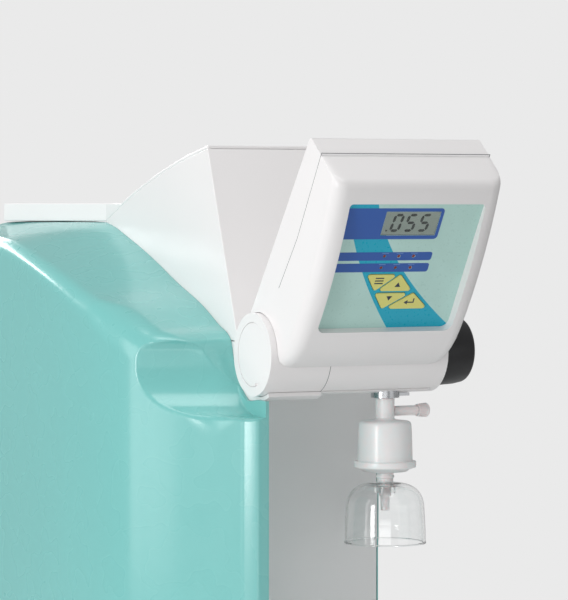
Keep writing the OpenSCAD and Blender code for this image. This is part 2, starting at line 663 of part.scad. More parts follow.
module key_cap(i) color(yellow) on_pad() {
    translate([0, 0, -floor_back]) linear_extrude(floor_back + key_proud) polygon(key_outline(i));
    pad_spot(key_middle(i).x, key_middle(i).y, -key_back) cylinder(h = key_back - pad_t, r = 3);
}
module key_menu() key_cap(0);
module key_up() key_cap(1);
module key_down() key_cap(2);
module key_enter() key_cap(3);
module display_board() color([0.1, 0.35, 0.2]) on_pad() {
    translate([(pad_w - board_w) / 2, -board_l - 5, -board_n - board_t]) cube([board_w, board_l + 2, board_t]);
    for (i = [0:3]) pad_spot(key_middle(i).x, key_middle(i).y, -board_n)
        translate([-3, -3, 0]) cube([6, 6, board_n - key_back - stem_gap]);
}
module status_lamps() color([0.9, 0.3, 0.2]) on_pad() for (p = lamp_spots)
    pad_spot(p.x, p.y, -board_n) cylinder(h = board_n - 0.2, r = lamp_r - 0.1);
// A cable or tube as round lengths between points, with a rounded elbow at each bend.
elbow = 0.8;
module cable(pts, r) {
    for (i = [0:len(pts) - 2]) {
        d = pts[i + 1] - pts[i];
        translate(pts[i]) rotate([0, acos(d.z / norm(d)), atan2(d.y, d.x)]) cylinder(h = norm(d), r = r, $fn = 24);
    }
    if (len(pts) > 2)
        for (i = [1:len(pts) - 2]) translate(pts[i]) sphere(r = r + elbow, $fn = 24);
}
module head_cable() color(black) in_head()
    cable([[-lug_in + 1.6, -17.6, 62], [-lug_in + 1.6, -3.5, 40], [-lug_in + 1.6, -3.5, 14]], 1.3);

// --- Filter and bell, below the outlet ---
spigot_r = 4;
neck_top = collar_low + 0.3;
cap_z = collar_low + neck_l;
capsule_z = cap_z + filter_h;
weld_h = 5;
cone_z = capsule_z + weld_h + 3.7;
nozzle_z = collar_low + 10.5;
nozzle_r = 3.75;
capsule_wall = 1.8;
nipple_r = 6;
hub_r = 4.75;
tip_r = 3.5;
hub_z = cone_z + 7.6;
tip_z = hub_z + 10;
end_z = hub_z + 21.2;
bore_r = 1.5;
module at_outlet() at_hinge() translate([outlet_x, 0, 0]) children();
module filter_body() color([0.93, 0.94, 0.93, 0.8]) at_outlet() difference() {
    union() {
        rotate_extrude() polygon([[0, -collar_top - 1], [spigot_r, -collar_top - 1], [spigot_r, -neck_top],
            [neck_r, -neck_top], [neck_r, -cap_z + 2.5], [neck_r + 2.5, -cap_z], [filter_r - 2, -cap_z],
            [filter_r, -cap_z - 2], [filter_r, -capsule_z], [flange_r, -capsule_z],
            [flange_r, -capsule_z - weld_h], [17, -cone_z], [nipple_r, -cone_z - 1], [nipple_r, -hub_z],
            [hub_r, -hub_z], [hub_r - 0.3, -tip_z], [tip_r, -tip_z], [tip_r - 0.3, -end_z], [0, -end_z]]);
        translate([0, 0, -nozzle_z]) rod_x(0, vent_reach - 4, nozzle_r);
    }
    translate([0, 0, -end_z - 1]) cylinder(h = end_z, r = bore_r);
    translate([0, 0, -capsule_z - weld_h + 1]) cylinder(h = filter_h + weld_h - 3, r = filter_r - capsule_wall);
    translate([0, 0, -nozzle_z]) rod_x(0, vent_reach, bore_r);
}
module filter_element() color(white) at_outlet() difference() {
    translate([0, 0, -capsule_z - weld_h + 1]) cylinder(h = filter_h, r = filter_r - capsule_wall - 2);
    translate([0, 0, -capsule_z - weld_h]) cylinder(h = filter_h + 2, r = 4);
}
module vent_cap() color(white) at_outlet() translate([0, 0, -nozzle_z]) difference() {
    rod_x(vent_reach - 10, vent_reach, 5.5);
    rod_x(vent_reach - 11, vent_reach - 3.5, nozzle_r + run_gap);
}
bell_top = hub_z + 0.3;
bell_low = bell_top + bell_h;
function bell_side(inset) = let (r = bell_r - inset, top = -bell_top - inset)
    concat([[9 - inset / 2, top]], bezier([12, top - 0.6], [r - 1.5, top - 2], [r - 1, top - 17], 8),
        [[r, -bell_low + 12]]);
module filling_bell() color([0.85, 0.92, 0.93, 0.35]) at_outlet() rotate_extrude() polygon(concat(
    [[hub_r + run_gap, -bell_top], [9, -bell_top]], bell_side(0), [[bell_r, -bell_low], [bell_r - bell_wall, -bell_low]],
    [for (i = [9:-1:1]) bell_side(bell_wall)[i]], [[8, -bell_top - bell_wall - 0.4],
        [8, -bell_top - 7], [hub_r + run_gap, -bell_top - 7]]));

// --- Water works ---
module tank_shelf() color(steel) at_column()
    box([-frame_out + sheet, rear_y - tank_d - 18, shelf_z - sheet], [frame_out - sheet, rear_y - panel_t, shelf_z]);
tank_rear = rear_y - panel_t - 6;
tank_front = tank_rear - tank_d;
tank_w = 2 * (frame_out - sheet - tank_side);
module tank() color(white) at_column() difference() {
    box([-tank_w / 2, tank_rear - tank_d, shelf_z], [tank_w / 2, tank_rear, shelf_z + tank_h]);
    box([tank_wall - tank_w / 2, tank_rear - tank_d + tank_wall, shelf_z + tank_wall],
        [tank_w / 2 - tank_wall, tank_rear - tank_wall, shelf_z + tank_h + 1]);
}
lid_z = shelf_z + tank_h;
lid_t = 4;
rod_r = 3;
rod_spot = [-30, tank_rear - 40];
vent_spot = [22, tank_rear - 60];
module tank_lid() color(grey) at_column() difference() {
    box([-tank_w / 2 - 2, tank_rear - tank_d - 2, lid_z], [tank_w / 2 + 2, tank_rear + 2, lid_z + lid_t]);
    translate([rod_spot.x, rod_spot.y, lid_z - 1]) cylinder(h = lid_t + 2, r = rod_r);
}
module level_rod() color(steel) at_column() translate([rod_spot.x, rod_spot.y, 0]) {
    translate([0, 0, shelf_z + tank_wall]) cylinder(h = tank_h - tank_wall + lid_t, r = rod_r);
    translate([0, 0, lid_z + lid_t]) cylinder(h = 8, r = 7);
}
float_r = 14;
float_h = 18;
module level_float() color([0.9, 0.5, 0.2]) at_column()
    translate([rod_spot.x, rod_spot.y, shelf_z + tank_wall + 0.3]) tube(float_h, float_r, rod_r + 0.3);
module tank_vent_filter() color(white) at_column() translate([vent_spot.x, vent_spot.y, lid_z + lid_t]) {
    cylinder(h = 4, r = 10);
    translate([0, 0, 4]) cylinder(h = 20, r = 22);
}
pump_z = base_top + 36;
pump_x = 30;
pump_y = tank_front - 5;
pump_l = 30;
motor_l = 85;
module pump_motor() color(black) at_column() translate([pump_x, pump_y + pump_l, 0]) {
    translate([0, 0, pump_z]) rod_y(0, motor_l, 28);
    box([-20, 10, base_top], [20, motor_l - 10, pump_z - 20]);
}
module pump_head() color(steel) at_column() translate([pump_x, pump_y, pump_z]) {
    rod_y(0, pump_l, 32);
    translate([0, 13, 0]) cylinder(h = 44, r = 5);
}
valve_xs = [-50, -26];
module solenoid_valves() color(grey) at_column() for (x = valve_xs) {
    box([x - 10, pump_y - 5, base_top], [x + 10, pump_y + 35, base_top + 18]);
    translate([x, pump_y + 15, base_top + 18]) cylinder(h = 26, r = 9);
    translate([x, 0, base_top + 9]) rod_y(pump_y + 35, pump_y + 47, 4);
}
cart_top = hinge_h - 5;
left_room = 0.955 * shoulder_w - cover_wall;
right_room = 0.99 * right_w - cover_wall;
pack_r = left_room / 2 - pack_room;
polish_r = right_room / 2 - pack_room;
pack_x = -col - cover_gap - left_room / 2;
polish_x = col + cover_gap + right_room / 2;
pack_y = rear_y - 187;
osmosis_y = rear_y - 71;
module left_manifold() color(grey) at_column()
    box([pack_x - pack_r, pack_y - pack_r - 4, cart_top], [-frame_out, osmosis_y + pack_r, cart_top + manifold_t]);
module right_manifold() color(grey) at_column()
    box([frame_out, osmosis_y - pack_r, cart_top], [polish_x + polish_r, osmosis_y + pack_r, cart_top + manifold_t]);
module cartridge(x, y, r) translate([x, y, cart_top - pack_l]) {
    cylinder(h = pack_l - 20, r = r);
    translate([0, 0, pack_l - 20]) cylinder(h = 20, r = 0.6 * r);
    translate([0, 0, -4]) cylinder(h = 4, r = 0.8 * r);
}
module pretreatment_cartridge() color(white) at_column() cartridge(pack_x, pack_y, pack_r);
module osmosis_module() color(grey) at_column() cartridge(pack_x, osmosis_y, ro_r);
module polishing_cartridge() color(white) at_column() cartridge(polish_x, osmosis_y, polish_r);
uv_x = 36;
uv_y = bay_d + 44;
module uv_housing() color(steel) at_column() translate([uv_x, uv_y, base_top]) {
    tube(4, uv_r + 6, uv_r - 2);
    translate([0, 0, 4]) tube(uv_l, uv_r, uv_r - 2);
    translate([0, 0, uv_l + 4]) tube(4, uv_r + 2, 9);
}
module uv_lamp() color(white) at_column() translate([uv_x, uv_y, base_top]) {
    translate([0, 0, 20]) cylinder(h = uv_l - 16, r = 8.7);
    translate([0, 0, uv_l + 8]) cylinder(h = 12, r = 14);
    translate([0, 0, uv_l + 4]) cylinder(h = 4, r = 8.7);
}
module power_supply() color(steel) at_column()
    box([-frame_out + sheet + 2, bay_d + 26, base_top], [-6, bay_d + 106, base_top + 96]);
module control_board() color([0.1, 0.35, 0.2]) at_column() {
    box([-56, bay_d + panel_t + 6, 150], [-2, bay_d + panel_t + 7.6, 320]);
    for (x = [-50, -8], z = [156, 314]) translate([x, 0, z]) rod_y(bay_d + panel_t, bay_d + panel_t + 6, 3);
    box([-44, bay_d + panel_t + 7.6, 200], [-20, bay_d + panel_t + 13, 224]);
    box([-50, bay_d + panel_t + 7.6, 270], [-14, bay_d + panel_t + 20, 290]);
}
cell_z = hinge_h - 75;
cell_x = frame_out - sheet - 11;
cell_y = tank_front - 33;
module conductivity_cell() color(grey) at_column() translate([cell_x, cell_y, cell_z]) {
    box([-11, -13, 0], [11, 13, 34]);
    translate([0, 0, 34]) cylinder(h = 10, r = 4);
}

// --- Tubing and rear connections ---
feed_z = pump_z + 44;
module tubing() color([0.85, 0.9, 0.95]) at_column() {
    cable([[pump_x, pump_y + 13, feed_z], [pump_x, pump_y + 13, feed_z + 30], [-10, tank_front - 20, feed_z + 50],
        [-10, tank_front - 20, hinge_h - 35]], tube_r);
    cable([[outlet_x, 28, hinge_h], [outlet_x, bay_d + 14, hinge_h], [outlet_x, cell_y, cell_z + 80],
        [cell_x, cell_y, cell_z + 60], [cell_x, cell_y, cell_z + 44.3]], tube_r);
    cable([[valve_xs[0], pump_y + 47.2, base_top + 9], [valve_xs[0], rear_y - 69, base_top + 9],
        [fitting_xs[0], rear_y - 49, fitting_z], [fitting_xs[0], rear_y - 9, fitting_z]], tube_r);
}
fitting_xs = [-44, -14, 16];
thread_r = 7;
module water_fittings() color(grey) at_column() for (x = fitting_xs) translate([x, 0, fitting_z]) difference() {
    union() {
        rod_y(rear_y - 9, rear_y + fitting_out, thread_r);
        rod_y(rear_y, rear_y + 5, 10);
        rod_y(rear_y - panel_t - 5, rear_y - panel_t, 10);
    }
    rod_y(rear_y + fitting_out - socket_l, rear_y + fitting_out + 1, socket_r);
}
inlet_x = -10;
module power_inlet() color(black) at_column() translate([inlet_x, 0, inlet_z]) difference() {
    union() {
        box([-20, rear_y - 24, -13], [20, rear_y, 13]);
        box([-24, rear_y, -17], [24, rear_y + 2, 17]);
    }
    box([-16, rear_y - 16, -9], [4, rear_y + 3, 9]);
    box([7.6, rear_y - 12, -9.4], [18.4, rear_y + 3, 9.4]);
}
module rocker_switch() color([0.75, 0.15, 0.12]) at_column() translate([inlet_x + 13, rear_y - 2, inlet_z])
    slab_x(-5, 5) intersection() {
        polygon([[-8, -3], [-8, 3], [1.6, 8.6], [2.6, 8], [0.8, 0], [1, -8], [0.2, -8.6]]);
        circle(r = 9);
    }
screw_spots = [[-60, 40], [60, 40], [-60, 400], [60, 400]];
module panel_screws() color(steel) at_column() for (p = screw_spots) translate([p.x, rear_y, p.y]) {
    rod_y(0, 1.8, 3);
}

base_plate();
feet();
rear_panel();
front_panel();
frame_plates();
top_cover();
fairing();
hinge_cradle();
valve_housing();
knuckle_housing();
barrel_end_cap();
pivot_pin();
trunnion();
dispense_valve();
outlet_collar();
valve_stem();
dispense_knob();
head_rear_shell();
head_bezel();
head_screws();
keypad_sheet();
lcd_window();
lcd_module();
display_board();
key_menu();
key_up();
key_down();
key_enter();
status_lamps();
head_cable();
filter_body();
filter_element();
vent_cap();
filling_bell();
left_cover();
right_cover();
tank_shelf();
tank();
tank_lid();
level_rod();
level_float();
tank_vent_filter();
pump_motor();
pump_head();
solenoid_valves();
left_manifold();
right_manifold();
pretreatment_cartridge();
osmosis_module();
polishing_cartridge();
uv_housing();
uv_lamp();
power_supply();
control_board();
conductivity_cell();
tubing();
water_fittings();
power_inlet();
rocker_switch();
panel_screws();
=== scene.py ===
"""Looks of the ultrapure water system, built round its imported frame.

Lengths in this script are millimetres measured from the hinge axis, turned to metres by the
matrices COLUMN, HEAD and PAD: x from the column's centre line, y to the rear, z up; in HEAD, y to
the head's rear and z up along it; in PAD, x and -y across and down the keypad and z out of it.
"""
import json
import math

import bmesh
import bpy
import numpy as np
from mathutils import Matrix, Vector


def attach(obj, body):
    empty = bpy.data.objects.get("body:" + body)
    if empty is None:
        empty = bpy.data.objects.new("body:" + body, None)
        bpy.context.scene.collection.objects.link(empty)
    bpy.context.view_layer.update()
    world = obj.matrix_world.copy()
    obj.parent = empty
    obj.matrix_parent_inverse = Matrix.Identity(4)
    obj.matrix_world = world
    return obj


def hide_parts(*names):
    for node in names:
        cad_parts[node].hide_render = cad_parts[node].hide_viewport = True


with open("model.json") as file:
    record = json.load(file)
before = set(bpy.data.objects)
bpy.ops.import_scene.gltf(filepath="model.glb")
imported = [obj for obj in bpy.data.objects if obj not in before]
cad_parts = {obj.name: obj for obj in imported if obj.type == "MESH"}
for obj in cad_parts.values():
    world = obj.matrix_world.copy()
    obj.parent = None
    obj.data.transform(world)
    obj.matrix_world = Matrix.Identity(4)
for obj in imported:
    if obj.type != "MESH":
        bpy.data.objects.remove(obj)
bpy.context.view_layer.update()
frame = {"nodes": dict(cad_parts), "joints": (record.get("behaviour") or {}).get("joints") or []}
MM = 0.001

# ---------------------------------------------------------------- places taken from the frame
joints = {j["name"]: j for j in frame["joints"]}
hinge = Vector(joints["head_tilt"]["pos_m"])
outlet_x = (joints["vent_cap_turn"]["pos_m"][0] - hinge.x) / MM
nozzle_z = (joints["vent_cap_turn"]["pos_m"][2] - hinge.z) / MM
HEAD_LEAN = 36.4
PAD_LEAN = 5.5
PAD_W, PAD_TOP, PAD_FRONT = 112.0, 158.9, 26.2
COLUMN = Matrix.Translation(hinge) @ Matrix.Scale(MM, 4)
HEAD = COLUMN @ Matrix.Rotation(math.radians(HEAD_LEAN), 4, "X")
PAD = (HEAD @ Matrix.Translation((-PAD_W / 2, -PAD_FRONT, PAD_TOP))
       @ Matrix.Rotation(math.radians(90 - PAD_LEAN), 4, "X"))
OUTLET = COLUMN @ Matrix.Translation((outlet_x, 0, 0))


# ---------------------------------------------------------------- materials
class Shader:
    """A node material with a few short calls for the textures used here."""

    def __init__(self, name):
        self.material = bpy.data.materials.new(name)
        self.material.use_nodes = True
        self.nodes = self.material.node_tree.nodes
        self.links = self.material.node_tree.links
        self.bsdf = self.nodes["Principled BSDF"]
        self.coordinates = self.nodes.new("ShaderNodeTexCoord").outputs["Object"]

    def join(self, value, socket):
        if isinstance(value, bpy.types.NodeSocket):
            self.links.new(value, socket)
        else:
            socket.default_value = value

    def place(self, stretch):
        node = self.nodes.new("ShaderNodeMapping")
        self.links.new(self.coordinates, node.inputs["Vector"])
        node.inputs["Scale"].default_value = stretch
        return node.outputs["Vector"]

    def noise(self, scale, detail=3.0, stretch=(1, 1, 1)):
        node = self.nodes.new("ShaderNodeTexNoise")
        self.links.new(self.place(stretch), node.inputs["Vector"])
        node.inputs["Scale"].default_value = scale
        node.inputs["Detail"].default_value = detail
        return node.outputs["Fac"]

    def span(self, value, low, high, to_low, to_high, smooth=False):
        node = self.nodes.new("ShaderNodeMapRange")
        if smooth:
            node.interpolation_type = "SMOOTHSTEP"
        self.join(value, node.inputs["Value"])
        for name, number in (("From Min", low), ("From Max", high), ("To Min", to_low),
                             ("To Max", to_high)):
            node.inputs[name].default_value = number
        return node.outputs["Result"]

    def math(self, kind, a, b=0.0, c=0.0):
        node = self.nodes.new("ShaderNodeMath")
        node.operation = kind
        for value, socket in zip((a, b, c), node.inputs):
            self.join(value, socket)
        return node.outputs["Value"]

    def mix(self, factor, a, b):
        node = self.nodes.new("ShaderNodeMix")
        node.data_type = "RGBA"
        self.join(factor, node.inputs["Factor"])
        self.join(a, node.inputs["A"])
        self.join(b, node.inputs["B"])
        return node.outputs["Result"]

    def bump(self, height, depth):
        node = self.nodes.new("ShaderNodeBump")
        node.inputs["Strength"].default_value = 1.0
        node.inputs["Distance"].default_value = depth
        self.links.new(height, node.inputs["Height"])
        self.links.new(node.outputs["Normal"], self.bsdf.inputs["Normal"])

    def set(self, **values):
        for name, value in values.items():
            self.join(value, self.bsdf.inputs[name.replace("_", " ")])
        return self


def rgb(red, green, blue):
    """A colour read off as 0 to 255, in the linear values that the shaders take."""
    def linear(c):
        c /= 255
        return c / 12.92 if c <= 0.04045 else ((c + 0.055) / 1.055) ** 2.4
    return (linear(red), linear(green), linear(blue), 1.0)


def shade(colour, factor):
    return tuple(min(1.0, c * factor) for c in colour[:3]) + (1.0,)


def moulded(name, colour, rough, grain=2200.0, depth=0.000012, vary=0.05, specular=0.5, coat=0.0,
            glow=0.0):
    """Moulded plastic: broad tone drift, a fine fleck and grain, and uneven gloss."""
    s = Shader(name)
    drift = s.span(s.noise(9.0, 2.0), 0.3, 0.7, 0.0, 1.0)
    fleck = s.span(s.noise(grain * 0.35, 1.0), 0.35, 0.65, 0.0, 0.12)
    tone = s.mix(drift, shade(colour, 1 - vary), shade(colour, 1 + vary))
    s.set(Base_Color=s.mix(fleck, tone, shade(colour, 1 - vary / 2)))
    s.set(Roughness=s.span(s.noise(40.0, 1.0), 0.3, 0.7, rough - 0.02, rough + 0.03))
    s.bump(s.noise(grain, 1.0), depth)
    s.bsdf.inputs["Specular IOR Level"].default_value = specular
    s.bsdf.inputs["Coat Weight"].default_value = coat
    s.bsdf.inputs["Coat Roughness"].default_value = 0.15
    if glow:
        s.bsdf.inputs["Subsurface Weight"].default_value = glow
        s.bsdf.inputs["Subsurface Radius"].default_value = (0.004, 0.006, 0.006)
        s.bsdf.inputs["Subsurface Scale"].default_value = 1.0
    return s.material


def metal(name, colour, rough, stretch, depth=0.000004):
    """Brushed or drawn metal with streaks along one direction."""
    s = Shader(name)
    streak = s.noise(900.0, 4.0, stretch)
    s.set(Base_Color=s.mix(s.span(streak, 0.3, 0.7, 0.0, 1.0), shade(colour, 0.9), shade(colour, 1.06)))
    s.set(Metallic=1.0, Roughness=s.span(streak, 0.3, 0.7, rough - 0.06, rough + 0.08))
    s.bump(streak, depth)
    return s.material


def clear(name, colour, rough, transmission, ior=1.49, ripple=0.00001):
    """Clear or milky moulding with a faint flow ripple."""
    s = Shader(name)
    flow = s.noise(45.0, 2.0, (1, 1, 3))
    s.set(Base_Color=s.mix(s.span(flow, 0.3, 0.7, 0.0, 1.0), colour, shade(colour, 0.97)))
    s.set(Roughness=s.span(s.noise(300.0, 3.0), 0.3, 0.7, rough, rough + 0.03))
    s.bump(flow, ripple)
    s.bsdf.inputs["Transmission Weight"].default_value = transmission
    s.bsdf.inputs["IOR"].default_value = ior
    return s.material


WHITE = rgb(240, 238, 238)
TEAL = rgb(120, 194, 190)
white_gloss = moulded("white_shell", WHITE, 0.36, grain=420.0, vary=0.008, depth=0.000004, coat=0.15)
teal_gloss = moulded("teal_cover", TEAL, 0.27, grain=240.0, depth=0.0000015, vary=0.012, coat=0.7)
grey_paint = moulded("grey_paint", rgb(243, 243, 243), 0.5, grain=1100.0, depth=0.00002, vary=0.02)
grey_plastic = moulded("grey_plastic", rgb(150, 152, 155), 0.5)
black_satin = moulded("black_satin", rgb(26, 26, 28), 0.36, grain=1800.0, depth=0.00002, vary=0.15)
black_rubber = moulded("black_rubber", rgb(34, 34, 35), 0.75, grain=900.0, depth=0.00006, vary=0.2)
black_cable = moulded("black_cable", rgb(30, 30, 31), 0.55, vary=0.2)
white_matt = moulded("white_matt", rgb(226, 227, 224), 0.5, vary=0.03)
sheet_steel = metal("sheet_steel", rgb(190, 193, 197), 0.38, (1, 0.02, 1))
bright_steel = metal("bright_steel", rgb(205, 207, 210), 0.25, (0.05, 1, 1))
orange_foam = moulded("orange_foam", rgb(226, 128, 52), 0.7, grain=500.0, depth=0.0001, vary=0.1)
red_rocker = moulded("red_rocker", rgb(178, 34, 30), 0.3, vary=0.06)
lamp_lens = moulded("lamp_lens", rgb(132, 40, 34), 0.3, vary=0.05, coat=0.2)
seam_dark = moulded("seam_shadow", rgb(120, 122, 124), 0.8, vary=0.05, specular=0.1)
milky = moulded("filter_milky", rgb(254, 254, 254), 0.3, depth=0.000004, vary=0.004, coat=0.3, glow=0.8)
bell_clear = clear("bell_clear", rgb(252, 253, 253), 0.0, 1.0, ripple=0.000004)
window_clear = clear("window_clear", rgb(236, 244, 240), 0.03, 1.0)
tube_clear = clear("tube_clear", rgb(226, 234, 240), 0.15, 0.8)


def board_material():
    """Green solder mask with copper lanes showing through."""
    s = Shader("solder_mask")
    lanes = s.math("GREATER_THAN", s.noise(420.0, 0.0, (1, 0.2, 1)), 0.56)
    s.set(Base_Color=s.mix(lanes, rgb(22, 88, 52), rgb(46, 122, 74)), Roughness=0.3)
    s.bump(lanes, 0.00003)
    return s.material


def pleat_material():
    """Pleated membrane: narrow folds round the filter's axis."""
    s = Shader("pleated_membrane")
    s.coordinates = s.place((1, 1, 0.02))
    s.set(Base_Color=s.mix(s.noise(900.0, 1.0), rgb(242, 242, 238), rgb(218, 218, 212)), Roughness=0.8)
    s.bump(s.noise(900.0, 1.0), 0.0006)
    return s.material


solder_mask = board_material()
membrane = pleat_material()


# ---------------------------------------------------------------- mesh helpers
def piece(name, verts, faces, matrix, material, body, replaces=(), smooth=30):
    """A mesh in a local frame, put in the row frame and riding on a body."""
    mesh = bpy.data.meshes.new(name)
    mesh.from_pydata([tuple(v) for v in verts], [], [tuple(f) for f in faces])
    mesh.transform(matrix)
    return settle(bpy.data.objects.new(name, mesh), material, body, replaces, smooth)


def settle(obj, material, body, replaces=(), smooth=30):
    """Links an object, cleans and smooths its mesh, gives it its material and body, and hides the nodes it
    replaces.
    """
    bpy.context.scene.collection.objects.link(obj)
    work = bmesh.new()
    work.from_mesh(obj.data)
    bmesh.ops.remove_doubles(work, verts=work.verts, dist=0.00001)
    bmesh.ops.recalc_face_normals(work, faces=work.faces)
    work.to_mesh(obj.data)
    work.free()
    obj.data.shade_smooth()
    obj.data.set_sharp_from_angle(angle=math.radians(smooth))
    obj.data.materials.clear()
    obj.data.materials.append(material)
    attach(obj, body)
    if replaces:
        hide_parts(*replaces)
    return obj


def apply_modifiers(obj):
    depsgraph = bpy.context.evaluated_depsgraph_get()
    mesh = bpy.data.meshes.new_from_object(obj.evaluated_get(depsgraph))
    obj.modifiers.clear()
    obj.data = mesh


def modify(obj, kind, **settings):
    modifier = obj.modifiers.new(kind.lower(), kind)
    for name, value in settings.items():
        setattr(modifier, name, value)
    return modifier


def refined(node, name, material, body, edge=0.5, angle=35, segments=3):
    """The CAD node's own form as a new piece, with its sharp edges rounded as a mould rounds them."""
    obj = bpy.data.objects.new(name, frame["nodes"][node].data.copy())
    settle(obj, material, body, (node,), angle)
    work = bmesh.new()
    work.from_mesh(obj.data)
    bmesh.ops.dissolve_limit(work, angle_limit=math.radians(0.5), verts=work.verts, edges=work.edges)
    work.to_mesh(obj.data)
    work.free()
    modify(obj, "BEVEL", width=edge * MM, segments=segments, limit_method="ANGLE",
           angle_limit=math.radians(angle), use_clamp_overlap=True, harden_normals=True)
    modify(obj, "WEIGHTED_NORMAL", keep_sharp=True)
    apply_modifiers(obj)
    return obj


def lathe(name, outline, matrix, material, body, replaces=(), steps=96, smooth=30):
    """A closed outline of (radius, height) points turned about the local z axis."""
    ring = [(math.cos(2 * math.pi * i / steps), math.sin(2 * math.pi * i / steps)) for i in range(steps)]
    verts = [(r * c, r * s, z) for r, z in outline for c, s in ring]
    n = len(outline)
    faces = [(j * steps + i, j * steps + (i + 1) % steps, (j + 1) % n * steps + (i + 1) % steps,
              (j + 1) % n * steps + i) for j in range(n) for i in range(steps)]
    return piece(name, verts, faces, matrix, material, body, replaces, smooth)


def arc(cx, cz, radius, start, stop, steps=6):
    """Points round (cx, cz) from one angle to another, in degrees."""
    angles = [math.radians(start + (stop - start) * i / steps) for i in range(steps + 1)]
    return [(cx + radius * math.cos(a), cz + radius * math.sin(a)) for a in angles]


def plate(name, loops, low, high, matrix, material, body, replaces=(), edge=0.0):
    """A flat plate between two heights, with an outer loop and holes, all as (x, y) points."""
    curve = bpy.data.curves.new(name, "CURVE")
    curve.dimensions = "2D"
    curve.fill_mode = "BOTH"
    for loop in loops:
        spline = curve.splines.new("POLY")
        spline.points.add(len(loop) - 1)
        for point, (x, y) in zip(spline.points, loop):
            point.co = (x, y, 0, 1)
        spline.use_cyclic_u = True
    curve.extrude = (high - low) / 2
    maker = bpy.data.objects.new(name + "_outline", curve)
    bpy.context.scene.collection.objects.link(maker)
    mesh = bpy.data.meshes.new_from_object(maker.evaluated_get(bpy.context.evaluated_depsgraph_get()))
    bpy.data.objects.remove(maker)
    mesh.transform(matrix @ Matrix.Translation((0, 0, (high + low) / 2)))
    obj = settle(bpy.data.objects.new(name, mesh), material, body, replaces)
    if edge:
        modify(obj, "BEVEL", width=edge * MM, segments=2, limit_method="ANGLE",
               angle_limit=math.radians(40))
        apply_modifiers(obj)
    return obj


def rounded(corners, steps=5):
    """A loop of (x, y, radius) corners as plain points."""
    out = []
    for i, (x, y, radius) in enumerate(corners):
        here = Vector((x, y))
        before = (Vector(corners[i - 1][:2]) - here).normalized()
        after = (Vector(corners[(i + 1) % len(corners)][:2]) - here).normalized()
        if radius <= 0:
            out.append((x, y))
            continue
        half = before.angle(after) / 2
        centre = here + (before + after).normalized() * radius / math.sin(half)
        a = here + before * radius / math.tan(half) - centre
        b = here + after * radius / math.tan(half) - centre
        turn = a.angle_signed(b)
        for k in range(steps + 1):
            out.append(tuple(centre + Matrix.Rotation(-turn * k / steps, 2) @ a))
    return out


def rectangle(x0, y0, x1, y1, radius=0.0):
    return rounded([(x0, y0, radius), (x1, y0, radius), (x1, y1, radius), (x0, y1, radius)])


# ---------------------------------------------------------------- side covers
def smooth_table(table):
    """A monotone cubic through (x, value) points, as a function of an array."""
    xs, ys = (np.array(column, float) for column in zip(*table))
    step = np.diff(xs)
    slope = np.diff(ys) / step
    tangent = np.zeros(len(xs))
    for i in range(1, len(xs) - 1):
        if slope[i - 1] * slope[i] > 0:
            w1, w2 = 2 * step[i] + step[i - 1], step[i] + 2 * step[i - 1]
            tangent[i] = (w1 + w2) / (w1 / slope[i - 1] + w2 / slope[i])
    tangent[0], tangent[-1] = slope[0], slope[-1]

    def value(x):
        x = np.clip(np.asarray(x, float), xs[0], xs[-1])
        i = np.clip(np.searchsorted(xs, x, side="right") - 1, 0, len(xs) - 2)
        t = (x - xs[i]) / step[i]
        return ((1 + 2 * t) * (1 - t) ** 2 * ys[i] + t * (1 - t) ** 2 * step[i] * tangent[i]
                + t * t * (3 - 2 * t) * ys[i + 1] + t * t * (t - 1) * step[i] * tangent[i + 1])
    return value


COLUMN_SIDE = 69.3
COVER_TOP = 97.3
COVER_FOOT = -363.0
COVER_WALL = 2.6
REAR_Y = 369.0
NOSE_Y = -16.0
BAY_Y = 70.0
OPEN_Y = 73.0
# Tables over y: the covers' line along the column, how far each reaches out, and the shoulders' radius.
seam = smooth_table([(-20, -34), (-4, -33.4), (13, -34.8), (31.5, -23.5), (40.7, -9.5), (47.6, 9.7),
                     (68.9, 20.4), (97, 34), (141, 50), (187, 68.4), (232, 84), (279, 97.6), (370, 110)])
left_reach = smooth_table([(-16, 7.65), (-15.4, 9.3), (-14.6, 10.25), (-9.2, 15.95), (-8.2, 16.85),
                           (-6, 18.4), (0, 23), (48, 59.4), (56, 64.3), (64, 69.1), (75, 73.8), (90, 78),
                           (110, 81.6), (142, 85.3), (173, 87.5), (230, 89.3), (369, 90.7)])
right_reach = smooth_table([(70, 1), (78, 3.6), (202, 66), (212, 70), (225, 73.8), (250, 74.9),
                            (369, 75.7)])
shoulder_r = smooth_table([(-20, 24), (60, 24), (100, 26), (130, 14), (369, 10)])

# The scoop: its floor and ceiling, the rounds that join them to its end wall, and that wall's line.
SCOOP_LOW, SCOOP_HIGH, SCOOP_ROUND, CEILING_ROUND = -46.0, 10.0, 36.0, 8.0
WALL_Y, WALL_LEAN = 34.0, 33.0 / 68.4
CEILING_RIM, FLOOR_RIM = 1.0, 2.2


def scoop_x(y, z):
    """How far out the scoop's end wall stands at height z of the section at y."""
    low, high = z - SCOOP_LOW, SCOOP_HIGH - z
    inset = 0.0
    if low < SCOOP_ROUND:
        inset = SCOOP_ROUND - math.sqrt(max(0.0, SCOOP_ROUND ** 2 - (SCOOP_ROUND - low) ** 2))
    elif high < CEILING_ROUND:
        inset = CEILING_ROUND - math.sqrt(max(0.0, CEILING_ROUND ** 2 - (CEILING_ROUND - high) ** 2))
    return max(COVER_WALL, COVER_WALL + (y - WALL_Y + inset) / WALL_LEAN)


